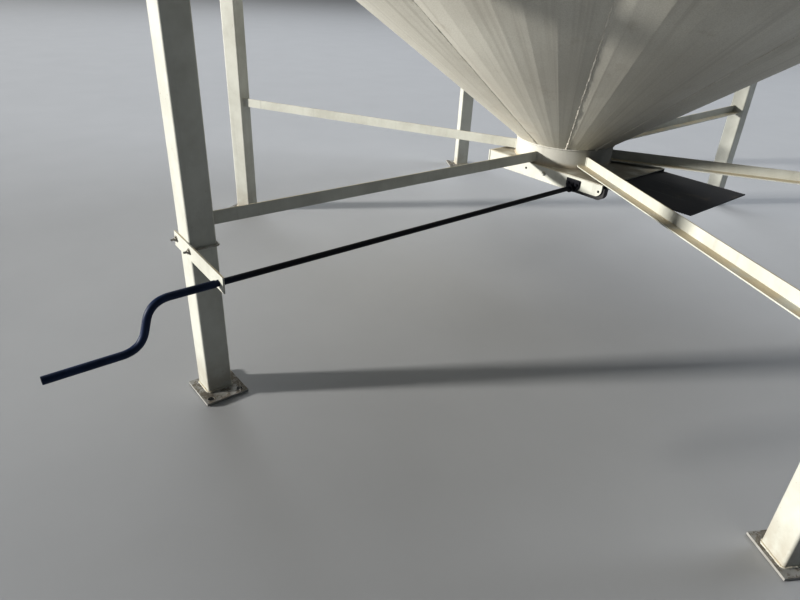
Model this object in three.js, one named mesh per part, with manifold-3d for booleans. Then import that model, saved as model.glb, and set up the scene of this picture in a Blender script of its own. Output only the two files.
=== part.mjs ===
// Grain silo: a round steel bin with a conical hopper, carried outside its wall by six box legs.
// Angle braces tie the legs to the outlet collar. A slide gate under the collar is driven by a
// rack and pinion from a long hand crank, which a bracket on leg 1 carries.
// Millimetres, +Z up. The ground is z = 0, and the origin is the middle of the whole footprint.

import * as THREE from 'three';
import { mergeVertices } from 'three/addons/utils/BufferGeometryUtils.js';
import Module from 'manifold-3d';

// Driving dimensions: the round bin
const legCount = 6;
const facets = 48;
const gap = 0.3;
const wallRadius = 2021.7;
const wallThickness = 5;
const wallHeight = 3600;
const hopperRingHeight = 60;
const hopperRingThickness = 8;
const hopperRingFlange = 60;
const hopperPanels = 10;
const hopperFolds = [-18, -15.1, -10.1, -5, 0, 5, 10.1, 15.1];
const hopperBulge = 0.035;
const hopperPanelTurn = 20.8;
const hopperSlope = THREE.MathUtils.degToRad(34.67);
const hopperThickness = 5;
const hopperTipHeight = 576;
const roofSlope = THREE.MathUtils.degToRad(30);
const roofThickness = 4;
const eaveRadius = 2090;
const roofHoleRadius = 300;
const roofCapRadius = 380;
const collarRadius = 255;
const collarThickness = 6;

// Driving dimensions: legs, feet and braces
const legSize = 100;
const legCorner = 9;
const legRadius = wallRadius + gap + legSize / 2;
const legTop = 3170;
const footThickness = 10;
const footOuterMargin = 34;
const footInnerMargin = 37;
const footLeftMargin = 64;
const footRightMargin = 18;
const footHoleRadius = 12;
const footHoleEdge = 26;
const braceSize = 50;
const braceThickness = 5;
const braceBottom = 670;
const braceRise = THREE.MathUtils.degToRad(0.8);

// Driving dimensions: slide gate
const gateTop = 660;
const gateBack = -277;
const coverThickness = 5;
const coverHalfWidth = 270;
const coverFrontEnd = 452;
const coverHoleRadius = 237;
const slideHalfWidth = 256;
const slideLength = 620;
const slideThickness = 4;
const slideTop = 650;
const slideOpenEnd = 885;
const runningGap = 0.8;
const railThickness = 8;
const railBottom = 601;
const railFrontEnd = 453;
const railHoles = [-13, 105, 436];
const railHoleHeight = 627;
const railHoleRadius = 5;
const railNotchRadius = 14;
const guideWidth = 30;
const guideBottom = 584;
const guideFrontEnd = 464;
const cornerRadius = 35;
const rackOffset = 200;
const rackWidth = 20;
const rackBottom = 634;
const rackFrontEnd = 845;

// Driving dimensions: rod with its pinions, shaft bearing, handle and bracket
const shaftY = 290;
const shaftZ = 607;
const rodRadius = 11;
const rodFarEnd = -290;
const rodNearEnd = 2139.7;
const pinionRadius = 20;
const pinionWidth = 26;
const bearingGap = 0.7;
const bearingEnds = [254, 330];
const bearingHeights = [588, 650];
const bearingThickness = 8;
const bossRadius = 19;
const bossReach = 306;
const handleRadius = 13;
const handleUpperCorner = 2349;
const handleLowerCorner = 2394;
const handleThrow = 155;
const handleEnd = 2675;
const handleTurn = 64;
const bracketThickness = 6;
const bracketHeight = 60;
const bracketMiddle = 630;
const bracketEnds = [-74, 324];
const bracketTilt = THREE.MathUtils.degToRad(3.5);
const boltRadius = 4;
const boltSpacing = 56.5;
const boltLift = 2.5;
const boltEnd = 2148;
const nutRadius = 9.2;
const nutLength = 8;

const footReach = legRadius + legSize / 2 + footOuterMargin;
const siloAxisX = (handleEnd - footReach) / 2;
const hopperBottom = hopperTipHeight + collarRadius * Math.tan(hopperSlope);
const hopperTop = hopperTipHeight + (wallRadius - 1) * Math.tan(hopperSlope);
const ringBottom = hopperTop + gap;
const wallBottom = ringBottom + hopperRingHeight + gap;
const wallTop = wallBottom + wallHeight;

const finishes = {
  paint: new THREE.MeshStandardMaterial({ color: 0xe8e7d8, roughness: 0.55, metalness: 0.1 }),
  sheet: new THREE.MeshStandardMaterial({ color: 0x9d998e, roughness: 0.5, metalness: 0.6 }),
  plate: new THREE.MeshStandardMaterial({ color: 0x8b857a, roughness: 0.8, metalness: 0.3 }),
  slide: new THREE.MeshStandardMaterial({ color: 0x34373c, roughness: 0.6, metalness: 0.5 }),
  crank: new THREE.MeshStandardMaterial({ color: 0x181b26, roughness: 0.4, metalness: 0.4 }),
};

const wasm = await Module();
wasm.setup();

// Closed three.js geometry to a solid that can be joined and cut.
function toSolid(geometry) {
  geometry.deleteAttribute('normal');
  geometry.deleteAttribute('uv');
  const merged = mergeVertices(geometry, 1e-3);
  return new wasm.Manifold(new wasm.Mesh({
    numProp: 3,
    vertProperties: merged.attributes.position.array,
    triVerts: new Uint32Array(merged.index.array),
  }));
}

// Solid back to a three.js geometry.
function toGeometry(body) {
  const mesh = body.getMesh();
  const geometry = new THREE.BufferGeometry();
  geometry.setAttribute('position', new THREE.BufferAttribute(mesh.vertProperties, 3));
  geometry.setIndex(new THREE.BufferAttribute(mesh.triVerts, 1));
  return geometry;
}

// Block between two opposite corners.
function block(low, high) {
  const size = high.map((value, axis) => value - low[axis]);
  const geometry = new THREE.BoxGeometry(...size);
  geometry.translate(...low.map((value, axis) => value + size[axis] / 2));
  return geometry;
}

// Round bar between two points, with as many flat sides as its size needs.
function roundBar(start, end, radius, sides = 24) {
  const from = new THREE.Vector3(...start);
  const run = new THREE.Vector3(...end).sub(from);
  const geometry = new THREE.CylinderGeometry(radius, radius, run.length(), sides);
  geometry.translate(0, run.length() / 2, 0);
  const up = new THREE.Vector3(0, 1, 0);
  geometry.applyQuaternion(new THREE.Quaternion().setFromUnitVectors(up, run.normalize()));
  geometry.translate(from.x, from.y, from.z);
  return geometry;
}

// Ring of flat facets around the silo's axis, one facet centred on each leg.
// The profile is a closed outline of [distance to the facet, height], anticlockwise.
function facetedRing(profile) {
  const reach = 1 / Math.cos(Math.PI / facets);
  const points = [...profile, profile[0]].map(([r, z]) => new THREE.Vector2(r * reach, z));
  const geometry = new THREE.LatheGeometry(points, facets, Math.PI / facets);
  geometry.rotateX(Math.PI / 2);
  return toSolid(geometry);
}

// One share of a ring, centred on +X, with half a gap at each side.
function oneShare(ring, count) {
  const half = Math.PI / count;
  const tip = gap / 2 / Math.sin(half);
  const reach = 2 * wallRadius;
  const side = (reach - tip) * Math.tan(half);
  const corners = [[tip, 0], [reach, -side], [reach, side]];
  const wedge = new THREE.ExtrudeGeometry(
    new THREE.Shape(corners.map(([x, y]) => new THREE.Vector2(x, y))),
    { depth: 2 * wallTop, bevelEnabled: false },
  );
  return ring.intersect(toSolid(wedge));
}

// Outline in the plane of Y and Z, given thickness along +X from x.
function plateAcross(outline, x, thickness) {
  const geometry = new THREE.ExtrudeGeometry(outline, {
    depth: thickness,
    bevelEnabled: false,
    curveSegments: 10,
  });
  geometry.applyMatrix4(new THREE.Matrix4().makeBasis(
    new THREE.Vector3(0, 1, 0),
    new THREE.Vector3(0, 0, 1),
    new THREE.Vector3(1, 0, 0),
  ));
  geometry.translate(x, 0, 0);
  return geometry;
}

function circle(x, y, radius, sides) {
  const turns = Array.from({ length: sides }, (_, i) => ((i + 0.5) * 2 * Math.PI) / sides);
  return turns.map((turn) => (
    new THREE.Vector2(x + radius * Math.cos(turn), y + radius * Math.sin(turn))
  ));
}

// Round holes cut through a body, each given as its start, its end and its radius.
function drill(geometry, holes) {
  let body = toSolid(geometry);
  for (const [start, end, radius] of holes) {
    body = body.subtract(toSolid(roundBar(start, end, radius)));
  }
  return body;
}

// Holes along X through a plate that spans two places on X.
function holesAcross(from, to, places) {
  return places.map(([y, z, radius]) => [[from - gap, y, z], [to + gap, y, z], radius]);
}

// Points become one path, with each inner corner rounded over the given length.
function roundedPath(points, turn) {
  const path = new THREE.CurvePath();
  let start = points[0];
  for (let i = 1; i < points.length - 1; i += 1) {
    const back = points[i - 1].clone().sub(points[i]).setLength(turn).add(points[i]);
    const ahead = points[i + 1].clone().sub(points[i]).setLength(turn).add(points[i]);
    path.add(new THREE.LineCurve3(start, back));
    path.add(new THREE.QuadraticBezierCurve3(back, points[i], ahead));
    start = ahead;
  }
  path.add(new THREE.LineCurve3(start, points[points.length - 1]));
  return path;
}

// Solid round bar that follows a path.
function bentBar(path, radius, steps, sides) {
  return new THREE.ExtrudeGeometry(new THREE.Shape(circle(0, 0, radius, sides)), {
    extrudePath: path,
    steps,
    bevelEnabled: false,
  });
}

// Square tube leg with rounded corners, closed at both ends.
function legGeometry() {
  const half = legSize / 2;
  const outline = new THREE.Shape();
  const corners = [[1, -1, -0.5], [1, 1, 0], [-1, 1, 0.5], [-1, -1, 1]];
  for (const [x, y, turn] of corners) {
    const centreX = legRadius + x * (half - legCorner);
    const centreY = y * (half - legCorner);
    outline.absarc(centreX, centreY, legCorner, turn * Math.PI, (turn + 0.5) * Math.PI, false);
  }
  const geometry = new THREE.ExtrudeGeometry(outline, {
    depth: legTop - footThickness - gap,
    bevelEnabled: false,
    curveSegments: 4,
  });
  geometry.translate(0, 0, footThickness + gap);
  return geometry;
}

// Foot plate with two anchor holes on the side where it reaches furthest past the leg.
function footGeometry() {
  const half = legSize / 2;
  const inner = legRadius - half - footInnerMargin;
  const left = half + footLeftMargin;
  const right = -half - footRightMargin;
  const outline = new THREE.Shape([
    new THREE.Vector2(inner, right),
    new THREE.Vector2(footReach, right),
    new THREE.Vector2(footReach, left),
    new THREE.Vector2(inner, left),
  ]);
  const plate = new THREE.ExtrudeGeometry(outline, {
    depth: footThickness,
    bevelEnabled: false,
  });
  const y = left - footHoleEdge;
  const holes = [inner + footHoleEdge, footReach - footHoleEdge].map((x) => (
    [[x, y, -gap], [x, y, footThickness + gap], footHoleRadius]
  ));
  return toGeometry(drill(plate, holes));
}

// Angle iron from the outlet collar to the leg, upright side to the left, flat side below.
// It rises a little towards the leg.
function braceGeometry() {
  const half = braceSize / 2;
  const outline = new THREE.Shape([
    new THREE.Vector2(-half, 0),
    new THREE.Vector2(half, 0),
    new THREE.Vector2(half, braceSize),
    new THREE.Vector2(half - braceThickness, braceSize),
    new THREE.Vector2(half - braceThickness, braceThickness),
    new THREE.Vector2(-half, braceThickness),
  ]);
  const start = collarRadius + gap;
  const geometry = plateAcross(outline, start, wallRadius - start);
  const slope = Math.tan(braceRise);
  geometry.applyMatrix4(new THREE.Matrix4().makeShear(0, slope, 0, 0, 0, 0));
  geometry.translate(0, 0, braceBottom - start * slope);
  return geometry;
}

// Solid cone of flat folds, point down. It bulges a little between the seams of its panels.
function foldedCone(tip, bottom, top) {
  const radius = (top - tip) / Math.tan(hopperSlope);
  const corners = [];
  for (let panel = 0; panel < hopperPanels; panel += 1) {
    for (const fold of hopperFolds) {
      const fromMiddle = fold / hopperFolds[0];
      const out = radius * (1 - hopperBulge * fromMiddle * fromMiddle);
      const turn = THREE.MathUtils.degToRad(fold + (panel * 360) / hopperPanels);
      corners.push(new THREE.Vector2(out * Math.cos(turn), out * Math.sin(turn)));
    }
  }
  const depth = top - bottom;
  const geometry = new THREE.ExtrudeGeometry(new THREE.Shape(corners), {
    depth,
    bevelEnabled: false,
  });
  const places = geometry.attributes.position;
  for (let i = 0; i < places.count; i += 1) {
    const share = (bottom - tip + places.getZ(i)) / (top - tip);
    places.setXY(i, places.getX(i) * share, places.getY(i) * share);
  }
  geometry.translate(0, 0, bottom);
  return toSolid(geometry);
}

// One folded panel of the hopper, centred on +X.
function hopperPanelGeometry() {
  const inside = hopperTipHeight + hopperThickness / Math.cos(hopperSlope);
  const shell = foldedCone(hopperTipHeight, hopperBottom, hopperTop)
    .subtract(foldedCone(inside, hopperBottom - gap, hopperTop + gap));
  return toGeometry(oneShare(shell, hopperPanels));
}

// Upright band between two radii and two heights.
function bandProfile(outer, thickness, bottom, top) {
  return [[outer - thickness, bottom], [outer, bottom], [outer, top], [outer - thickness, top]];
}

function wallPanelGeometry() {
  const profile = bandProfile(wallRadius, wallThickness, wallBottom, wallTop);
  return toGeometry(oneShare(facetedRing(profile), legCount));
}

// Rolled angle between the hopper and the wall, its flat side over the edges of the hopper.
function hopperRingGeometry() {
  const inner = wallRadius - hopperRingFlange;
  const web = wallRadius - hopperRingThickness;
  const top = ringBottom + hopperRingHeight;
  const shelf = ringBottom + hopperRingThickness;
  return toGeometry(facetedRing([
    [inner, ringBottom],
    [wallRadius, ringBottom],
    [wallRadius, top],
    [web, top],
    [web, shelf],
    [inner, shelf],
  ]));
}

function collarGeometry() {
  const bottom = gateTop + gap;
  return toGeometry(facetedRing(
    bandProfile(collarRadius, collarThickness, bottom, hopperBottom - gap),
  ));
}

// Height of the roof's underside at a radius: it rests on the top edge of the wall.
function roofUnderside(radius) {
  return wallTop + gap + (wallRadius - radius) * Math.tan(roofSlope);
}

function roofPanelGeometry() {
  const thick = roofThickness / Math.cos(roofSlope);
  const low = roofUnderside(eaveRadius);
  const high = roofUnderside(roofHoleRadius);
  return toGeometry(oneShare(facetedRing([
    [eaveRadius, low],
    [eaveRadius, low + thick],
    [roofHoleRadius, high + thick],
    [roofHoleRadius, high],
  ]), legCount));
}

// Conical cap over the filling hole in the middle of the roof.
function roofCapGeometry() {
  const reach = 1 / Math.cos(Math.PI / facets);
  const thick = roofThickness / Math.cos(roofSlope);
  const seat = thick + gap;
  const edge = roofUnderside(roofCapRadius) + seat;
  const peak = roofUnderside(0) + seat;
  const geometry = new THREE.LatheGeometry([
    new THREE.Vector2(0, peak),
    new THREE.Vector2(roofCapRadius * reach, edge),
    new THREE.Vector2(roofCapRadius * reach, edge + thick),
    new THREE.Vector2(0, peak + thick),
  ], facets, Math.PI / facets);
  geometry.rotateX(Math.PI / 2);
  return toGeometry(toSolid(geometry));
}

// Cover plate of the gate, with the outlet cut through it.
function gatePlateGeometry() {
  const half = coverHalfWidth;
  const underside = gateTop - coverThickness;
  const plate = block([-half, gateBack, underside], [half, coverFrontEnd, gateTop]);
  const outlet = roundBar([0, 0, underside - gap], [0, 0, gateTop + gap], coverHoleRadius, facets);
  return toGeometry(toSolid(plate).subtract(toSolid(outlet)));
}

// Long plate in the plane of Y and Z, with the lower corner of its front end rounded.
function railOutline(front, bottom, top) {
  const outline = new THREE.Shape();
  const turn = [front - cornerRadius, bottom + cornerRadius];
  outline.moveTo(gateBack, bottom);
  outline.lineTo(turn[0], bottom);
  outline.absarc(...turn, cornerRadius, -Math.PI / 2, 0, false);
  outline.lineTo(front, top);
  outline.lineTo(gateBack, top);
  return outline;
}

// Side rail with the guide that the slide runs on, on the side of leg 1.
function railSolid() {
  const face = coverHalfWidth + gap;
  const inside = face - guideWidth;
  const outside = face + railThickness;
  const guideTop = slideTop - slideThickness - runningGap;
  const rail = plateAcross(railOutline(railFrontEnd, railBottom, gateTop), face, railThickness);
  const guide = plateAcross(railOutline(guideFrontEnd, guideBottom, guideTop), inside, guideWidth);
  const holes = railHoles.map((y) => [y, railHoleHeight, railHoleRadius]);
  const notch = [shaftY, shaftZ, railNotchRadius];
  const bore = [shaftY, shaftZ, rodRadius + bearingGap];
  return drill(rail, holesAcross(face, outside, [...holes, notch]))
    .add(drill(guide, holesAcross(inside, face, [bore])));
}

function railGeometry(side) {
  const rail = railSolid();
  if (side > 0) return toGeometry(rail);
  return toGeometry(rail.mirror([1, 0, 0]));
}

// Bar across the back of the gate, where the closed slide stops.
function gateEndGeometry() {
  const half = coverHalfWidth + gap + railThickness;
  const back = gateBack - gap;
  return block([-half, back - railThickness, railBottom], [half, back, gateTop]);
}

// Sliding sheet with its two racks, drawn fully open.
function slideGeometry() {
  const half = slideHalfWidth;
  const back = slideOpenEnd - slideLength;
  const underside = slideTop - slideThickness;
  let slide = toSolid(block([-half, back, underside], [half, slideOpenEnd, slideTop]));
  for (const x of [-rackOffset, rackOffset]) {
    slide = slide.add(toSolid(block(
      [x - rackWidth / 2, back, rackBottom],
      [x + rackWidth / 2, rackFrontEnd, underside],
    )));
  }
  return toGeometry(slide);
}

// Round bar along X on the axis of the crank.
function barOnAxis(from, to, radius) {
  return toSolid(roundBar([from, shaftY, shaftZ], [to, shaftY, shaftZ], radius));
}

// Straight rod under the gate and out to the bracket, with its two pinions.
function rodGeometry() {
  let rod = barOnAxis(rodFarEnd, rodNearEnd, rodRadius);
  for (const x of [-rackOffset, rackOffset]) {
    rod = rod.add(barOnAxis(x - pinionWidth / 2, x + pinionWidth / 2, pinionRadius));
  }
  return toGeometry(rod);
}

// Plate on the near rail with a boss around the rod, rounded at its lower corners.
function bearingGeometry() {
  const face = coverHalfWidth + 2 * gap + railThickness;
  const [back, front] = bearingEnds;
  const [bottom, top] = bearingHeights;
  const round = cornerRadius;
  const outline = new THREE.Shape();
  outline.moveTo(back, top);
  outline.lineTo(back, bottom + round);
  outline.absarc(back + round, bottom + round, round, Math.PI, 1.5 * Math.PI, false);
  outline.absarc(front - round, bottom + round, round, 1.5 * Math.PI, 2 * Math.PI, false);
  outline.lineTo(front, top);
  const body = toSolid(plateAcross(outline, face, bearingThickness))
    .add(barOnAxis(face, bossReach, bossRadius));
  return toGeometry(body.subtract(barOnAxis(face - gap, bossReach + gap, rodRadius + bearingGap)));
}

// Pipe on the end of the rod, bent down and out again to the grip.
function handleGeometry() {
  const points = [
    [rodNearEnd + gap, 0],
    [handleUpperCorner, 0],
    [handleLowerCorner, -handleThrow],
    [handleEnd, -handleThrow],
  ].map(([x, drop]) => new THREE.Vector3(x, shaftY, shaftZ + drop));
  return bentBar(roundedPath(points, handleTurn), handleRadius, 64, 16);
}

// Height of the bracket's middle line, which falls towards the rod.
function bracketLine(y) {
  return bracketMiddle - y * Math.tan(bracketTilt);
}

// Flat bar bolted across the outer face of leg 1, with the rod through its far end.
function bracketGeometry() {
  const up = new THREE.Vector2(Math.sin(bracketTilt), Math.cos(bracketTilt));
  const corner = (y, side) => new THREE.Vector2(y, bracketLine(y))
    .addScaledVector(up, (side * bracketHeight) / 2);
  const [back, front] = bracketEnds;
  const outline = new THREE.Shape([
    corner(back, -1), corner(front, -1), corner(front, 1), corner(back, 1),
  ]);
  const face = bracketFace();
  const holes = holesAcross(face, face + bracketThickness, [
    [shaftY, shaftZ, rodRadius + bearingGap],
    [-boltSpacing, boltHeight(-boltSpacing), boltRadius + bearingGap],
    [boltSpacing, boltHeight(boltSpacing), boltRadius + bearingGap],
  ]);
  return toGeometry(drill(plateAcross(outline, face, bracketThickness), holes));
}

function bracketFace() {
  return legRadius + legSize / 2 + gap;
}

function boltHeight(y) {
  return bracketLine(y) + boltLift;
}

// Square U-bolt around leg 1, with its two nuts on the bracket.
function boltGeometry() {
  const back = legRadius - legSize / 2 - gap - boltRadius;
  const ends = [-boltSpacing, boltSpacing];
  const points = [[boltEnd, 0], [back, 0], [back, 1], [boltEnd, 1]].map(([x, side]) => (
    new THREE.Vector3(x, ends[side], boltHeight(ends[side]))
  ));
  let bolt = toSolid(bentBar(roundedPath(points, 9), boltRadius, 24, 8));
  const seat = bracketFace() + bracketThickness + gap;
  for (const y of ends) {
    const run = [[seat, y, boltHeight(y)], [seat + nutLength, y, boltHeight(y)]];
    bolt = bolt.add(toSolid(roundBar(...run, nutRadius, 6)));
  }
  return toGeometry(bolt);
}

function addPiece(group, name, geometry, finish) {
  const mesh = new THREE.Mesh(geometry, finish);
  mesh.name = name;
  group.add(mesh);
}

// What repeats at every leg: the group's +X points out to the leg.
const repeated = [
  ['leg', legGeometry(), finishes.paint],
  ['foot_plate', footGeometry(), finishes.plate],
  ['brace', braceGeometry(), finishes.paint],
  ['wall_panel', wallPanelGeometry(), finishes.sheet],
  ['roof_panel', roofPanelGeometry(), finishes.sheet],
];

const silo = new THREE.Group();
silo.position.x = siloAxisX;
const stations = [];
for (let number = 1; number <= legCount; number += 1) {
  const station = new THREE.Group();
  station.rotation.z = Math.PI + ((number - 1) * 2 * Math.PI) / legCount;
  for (const [name, geometry, finish] of repeated) {
    addPiece(station, `${name}_${number}`, geometry, finish);
  }
  silo.add(station);
  stations.push(station);
}

const hopperPanel = hopperPanelGeometry();
for (let number = 1; number <= hopperPanels; number += 1) {
  const place = new THREE.Group();
  const turn = hopperPanelTurn + ((number - 1) * 360) / hopperPanels;
  place.rotation.z = Math.PI + THREE.MathUtils.degToRad(turn);
  addPiece(place, `hopper_panel_${number}`, hopperPanel, finishes.sheet);
  silo.add(place);
}

addPiece(silo, 'hopper_ring', hopperRingGeometry(), finishes.sheet);
addPiece(silo, 'roof_cap', roofCapGeometry(), finishes.sheet);
addPiece(silo, 'outlet_collar', collarGeometry(), finishes.sheet);

// The gate and its drive share the directions of leg 1, and the slide opens towards +Y there.
const gate = stations[0];
addPiece(gate, 'gate_cover_plate', gatePlateGeometry(), finishes.paint);
addPiece(gate, 'gate_rail_near', railGeometry(1), finishes.paint);
addPiece(gate, 'gate_rail_far', railGeometry(-1), finishes.paint);
addPiece(gate, 'gate_end_bar', gateEndGeometry(), finishes.paint);
addPiece(gate, 'slide_gate', slideGeometry(), finishes.slide);
addPiece(gate, 'shaft_bearing', bearingGeometry(), finishes.crank);
addPiece(gate, 'crank_rod', rodGeometry(), finishes.crank);
addPiece(gate, 'crank_handle', handleGeometry(), finishes.crank);
addPiece(gate, 'crank_bracket', bracketGeometry(), finishes.paint);
addPiece(gate, 'bracket_u_bolt', boltGeometry(), finishes.plate);

export default silo;
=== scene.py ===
import math
import random

import bmesh
import bpy
from mathutils import Matrix, Vector, noise


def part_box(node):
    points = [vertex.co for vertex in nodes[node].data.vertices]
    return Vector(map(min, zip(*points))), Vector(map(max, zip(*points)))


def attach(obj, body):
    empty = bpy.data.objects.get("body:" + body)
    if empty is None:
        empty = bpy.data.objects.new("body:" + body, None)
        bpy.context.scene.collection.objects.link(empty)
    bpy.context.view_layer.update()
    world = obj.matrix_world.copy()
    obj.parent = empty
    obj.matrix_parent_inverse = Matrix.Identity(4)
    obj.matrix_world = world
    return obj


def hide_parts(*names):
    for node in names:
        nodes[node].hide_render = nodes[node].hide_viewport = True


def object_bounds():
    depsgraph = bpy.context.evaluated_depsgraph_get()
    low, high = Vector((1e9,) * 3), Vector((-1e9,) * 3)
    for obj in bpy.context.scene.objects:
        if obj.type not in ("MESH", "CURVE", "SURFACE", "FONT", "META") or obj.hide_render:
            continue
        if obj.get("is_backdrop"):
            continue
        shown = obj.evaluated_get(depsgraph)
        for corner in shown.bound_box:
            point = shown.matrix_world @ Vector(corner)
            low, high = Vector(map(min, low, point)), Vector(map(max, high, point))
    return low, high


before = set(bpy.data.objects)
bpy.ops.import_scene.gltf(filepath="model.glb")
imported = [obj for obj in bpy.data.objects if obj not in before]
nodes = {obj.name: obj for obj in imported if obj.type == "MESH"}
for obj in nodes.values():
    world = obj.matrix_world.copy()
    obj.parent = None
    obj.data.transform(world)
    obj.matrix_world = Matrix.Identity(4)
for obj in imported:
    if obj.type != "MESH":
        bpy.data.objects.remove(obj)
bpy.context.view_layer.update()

# Camera: a person's eye height outside leg 1, looking down under the hopper.
# The lens is 27.3 mm on a 36 mm wide picture, and the horizon is tilted by three degrees.
camera_place = Vector((-2.5375, -1.985, 1.529))
camera_heading = Vector((0.6471, 0.7624, 0.0))
camera_pitch = math.radians(28.831)
camera_roll = math.radians(2.9815)
camera_lens = 27.3
camera_sensor = 36
camera_reach = 200

forward = camera_heading * math.cos(camera_pitch) - Vector((0, 0, math.sin(camera_pitch)))
level_right = forward.cross(Vector((0, 0, 1))).normalized()
level_up = level_right.cross(forward)
camera_right = level_right * math.cos(camera_roll) + level_up * math.sin(camera_roll)
camera_up = camera_right.cross(forward)
camera = bpy.data.objects.new("camera", bpy.data.cameras.new("camera"))
camera.data.lens = camera_lens
camera.data.sensor_width = camera_sensor
camera.data.clip_end = camera_reach
camera.matrix_world = Matrix.Translation(camera_place) @ Matrix(
    (camera_right, camera_up, -forward)
).transposed().to_4x4()
bpy.context.scene.collection.objects.link(camera)
bpy.context.scene.camera = camera

# Floor and light: a pale floor that ends far behind the silo, a low softbox where the sun
# stood, two high soft ones that light the far side and the roof, and a faint even sky.
collar_low, collar_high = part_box("outlet_collar")
silo_axis = Vector(((collar_low.x + collar_high.x) / 2, 0, 0))
floor_size = 60
floor_drop = 0.002
sun_azimuth = math.radians(149.6)
sun_height = math.radians(10)
sun_distance = 60
sun_size = 3.8
sun_watts = 69000
sunlight = (1.0, 0.965, 0.895)
right_azimuth = math.radians(-20)
right_watts = 2500
back_azimuth = math.radians(70)
back_watts = 2000
fill_height = math.radians(45)
fill_distance = 22
fill_size = 12
skylight = (0.94, 0.97, 1.0)
aim_height = 1.2
sky_colour = (0.72, 0.85, 1.0, 1)
sky_strength = 0.08
view_gamma = 0.85
sharp_angle = math.radians(40)


class Wire:
    """One output of a material's nodes. Sums and products of wires add their own nodes."""

    def __init__(self, tree, socket=None):
        self.tree = tree
        self.socket = socket

    def node(self, kind, sockets=None, output=0, **settings):
        """Adds any node: its settings first, then the values or wires of its sockets."""
        added = self.tree.nodes.new(kind)
        for name, value in settings.items():
            setattr(added, name, value)
        for name, value in (sockets or {}).items():
            if isinstance(value, Wire):
                self.tree.links.new(value.socket, added.inputs[name])
            else:
                added.inputs[name].default_value = value
        return Wire(self.tree, added.outputs[output])

    def math(self, operation, first, second=0.0):
        return self.node("ShaderNodeMath", {0: first, 1: second}, operation=operation)

    def __add__(self, other):
        return self.math("ADD", self, other)

    __radd__ = __add__

    def __sub__(self, other):
        return self.math("SUBTRACT", self, other)

    def __rsub__(self, other):
        return self.math("SUBTRACT", other, self)

    def __mul__(self, other):
        return self.math("MULTIPLY", self, other)

    __rmul__ = __mul__

    def between(self, low, high):
        """From 0 at low to 1 at high, smooth between them."""
        return self.node(
            "ShaderNodeMapRange",
            {"Value": self, "From Min": low, "From Max": high},
            interpolation_type="SMOOTHSTEP",
        )

    def place(self):
        """The point on the piece, in metres."""
        return self.node("ShaderNodeTexCoord", output="Object")

    def part(self, axis):
        """One number of a point: X, Y or Z."""
        return self.node("ShaderNodeSeparateXYZ", {0: self}, output=axis)

    def stretched(self, x, y, z):
        scale = {"Vector": self, "Scale": (x, y, z)}
        return self.node("ShaderNodeMapping", scale)

    def clouds(self, scale, detail=4.0, roughness=0.55):
        """Cloudy noise around 0.5 with about that many clouds in a metre."""
        sockets = {"Vector": self, "Scale": scale, "Detail": detail, "Roughness": roughness}
        return self.node("ShaderNodeTexNoise", sockets)

    def facing_up(self):
        return self.node("ShaderNodeNewGeometry", output="Normal").part("Z")

    def tint(self, factor, first, second):
        """Colour that goes from the first to the second as the factor goes from 0 to 1."""
        first, second = (
            colour if isinstance(colour, Wire) else (*colour, 1) for colour in (first, second)
        )
        # A Mix node has its factor on socket 0, and its two colours on sockets 6 and 7.
        sockets = {0: factor, 6: first, 7: second}
        return self.node("ShaderNodeMix", sockets, output=2, data_type="RGBA")

    def bump(self, height, depth, strength=1.0):
        sockets = {"Height": height, "Distance": depth, "Strength": strength}
        return self.node("ShaderNodeBump", sockets)


def new_material(name):
    material = bpy.data.materials.new(name)
    material.use_nodes = True
    return material, Wire(material.node_tree)


def set_surface(material, **sockets):
    """Colour, Roughness, Metallic or Normal of the material, as a value or as a wire."""
    shader = material.node_tree.nodes["Principled BSDF"]
    for name, value in sockets.items():
        socket = shader.inputs[name.replace("_", " ")]
        if isinstance(value, Wire):
            material.node_tree.links.new(value.socket, socket)
        else:
            socket.default_value = value


def new_object(name, sheet, material):
    """A mesh object at the origin from a finished bmesh. Sharper edges stay sharp."""
    mesh = bpy.data.meshes.new(name)
    bmesh.ops.recalc_face_normals(sheet, faces=sheet.faces)
    for edge in sheet.edges:
        edge.smooth = edge.calc_face_angle(0) < sharp_angle
    for face in sheet.faces:
        face.smooth = True
    sheet.to_mesh(mesh)
    sheet.free()
    made = bpy.data.objects.new(name, mesh)
    made.data.materials.append(material)
    bpy.context.scene.collection.objects.link(made)
    return made


floor_finish, wires = new_material("floor_finish")
grain = wires.place().clouds(2.0)
set_surface(
    floor_finish,
    Base_Color=wires.tint(grain, (0.42, 0.43, 0.45), (0.46, 0.47, 0.49)),
    Roughness=0.9,
)
sheet = bmesh.new()
bmesh.ops.create_grid(sheet, x_segments=1, y_segments=1, size=floor_size / 2)
floor = new_object("floor", sheet, floor_finish)
floor.location = (0, 0, -floor_drop)
floor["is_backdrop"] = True

world = bpy.data.worlds.new("pale_sky")
bpy.context.scene.world = world
bpy.context.scene.view_settings.view_transform = "Standard"
bpy.context.scene.view_settings.gamma = view_gamma
world.use_nodes = True
background = world.node_tree.nodes["Background"]
background.inputs["Color"].default_value = sky_colour
background.inputs["Strength"].default_value = sky_strength


def softbox(name, azimuth, height, distance, size, power, colour):
    """Square lamp that is aimed at the hopper from the given side, height and distance."""
    lamp = bpy.data.lights.new(name, "AREA")
    lamp.shape = "SQUARE"
    lamp.size = size
    lamp.energy = power
    lamp.color = colour
    holder = bpy.data.objects.new(name, lamp)
    towards = Vector((
        math.cos(azimuth) * math.cos(height),
        math.sin(azimuth) * math.cos(height),
        math.sin(height),
    ))
    holder.location = silo_axis + Vector((0, 0, aim_height)) + towards * distance
    holder.rotation_euler = towards.to_track_quat("Z", "Y").to_euler()
    bpy.context.scene.collection.objects.link(holder)


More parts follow.
